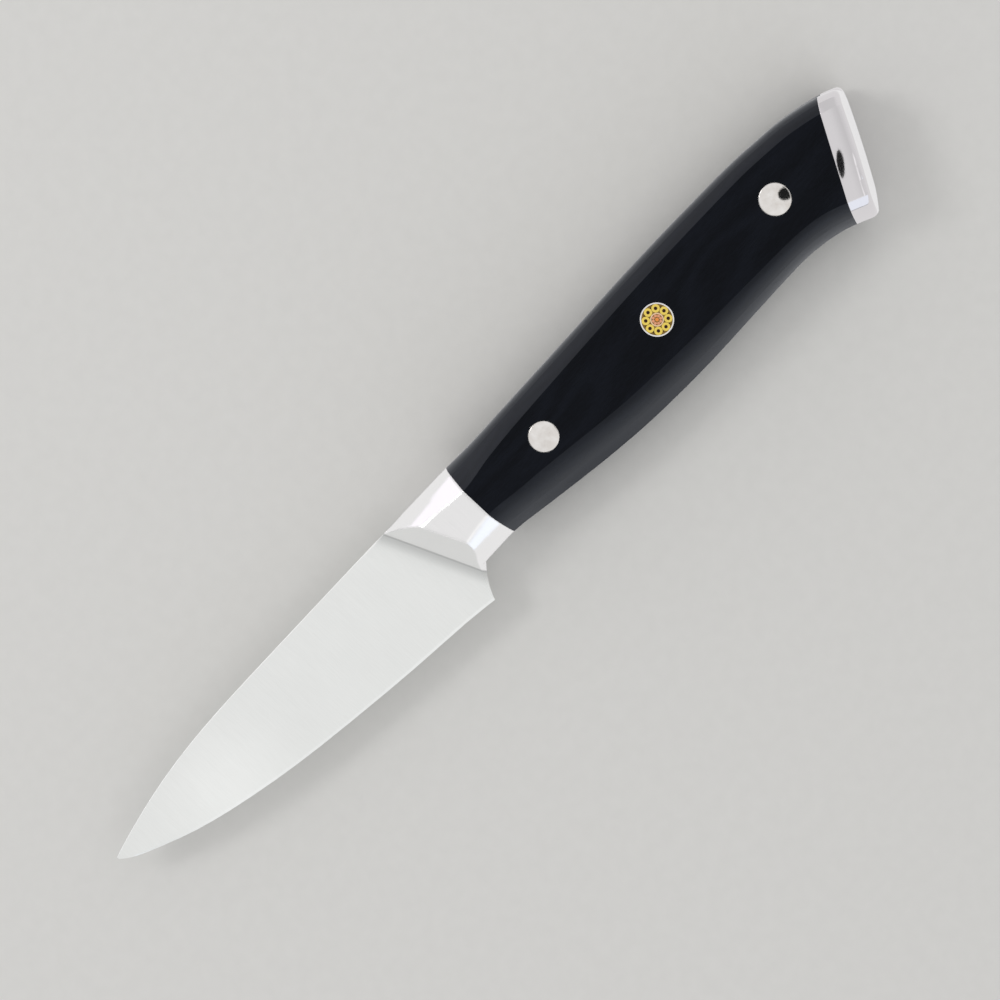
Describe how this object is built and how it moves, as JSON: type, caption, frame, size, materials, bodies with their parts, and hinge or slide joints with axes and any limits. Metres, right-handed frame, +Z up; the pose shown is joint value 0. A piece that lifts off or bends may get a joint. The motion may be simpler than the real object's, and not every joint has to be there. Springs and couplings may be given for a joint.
{
  "type": "paring knife",
  "caption": "Paring knife with a forged blade, bolster and full tang, riveted black handle scales, a mosaic pin and a steel butt cap.",
  "frame": {"origin": "middle of the knife's outline at the handle's lower flat side, on the surface that the knife lies on", "axes": "+X from the tip of the blade to the butt, +Y towards the spine, +Z up through the thickness"},
  "size_m": [0.2092, 0.028, 0.0156],
  "materials": {
    "blade_steel": "fine satin, ground across the blade, with a polished bolster",
    "handle_laminate": "smooth satin black with faint layers along the handle",
    "cap_steel": "polished with fine buffing lines",
    "rivet_steel": "polished",
    "mosaic_steel": "polished flush with the handle",
    "mosaic_brass": "polished flush with the handle",
    "mosaic_copper": "copper, polished flush with the handle",
    "mosaic_resin": "dark cast resin"
  },
  "bodies": {
    "root": {"blade": "blade_steel", "left_scale": "handle_laminate", "right_scale": "handle_laminate", "butt_cap": "cap_steel", "front_rivet_male": "rivet_steel", "front_rivet_female": "rivet_steel", "rear_rivet_male": "rivet_steel", "rear_rivet_female": "rivet_steel", "mosaic_outer_tube": "mosaic_steel", "mosaic_brass_tube_1": "mosaic_brass", "mosaic_brass_tube_2": "mosaic_brass", "mosaic_brass_tube_3": "mosaic_brass", "mosaic_brass_tube_4": "mosaic_brass", "mosaic_brass_tube_5": "mosaic_brass", "mosaic_brass_tube_6": "mosaic_brass", "mosaic_brass_tube_7": "mosaic_brass", "mosaic_brass_tube_8": "mosaic_brass", "mosaic_core_tube": "mosaic_steel", "mosaic_copper_rod_1": "mosaic_copper", "mosaic_copper_rod_2": "mosaic_copper", "mosaic_copper_rod_3": "mosaic_copper", "mosaic_copper_rod_4": "mosaic_copper", "mosaic_copper_rod_5": "mosaic_copper", "mosaic_copper_rod_6": "mosaic_copper", "mosaic_copper_rod_7": "mosaic_copper", "mosaic_copper_rod_8": "mosaic_copper", "mosaic_centre_rod": "mosaic_copper", "mosaic_resin": "mosaic_resin"}
  },
  "joints": []
}
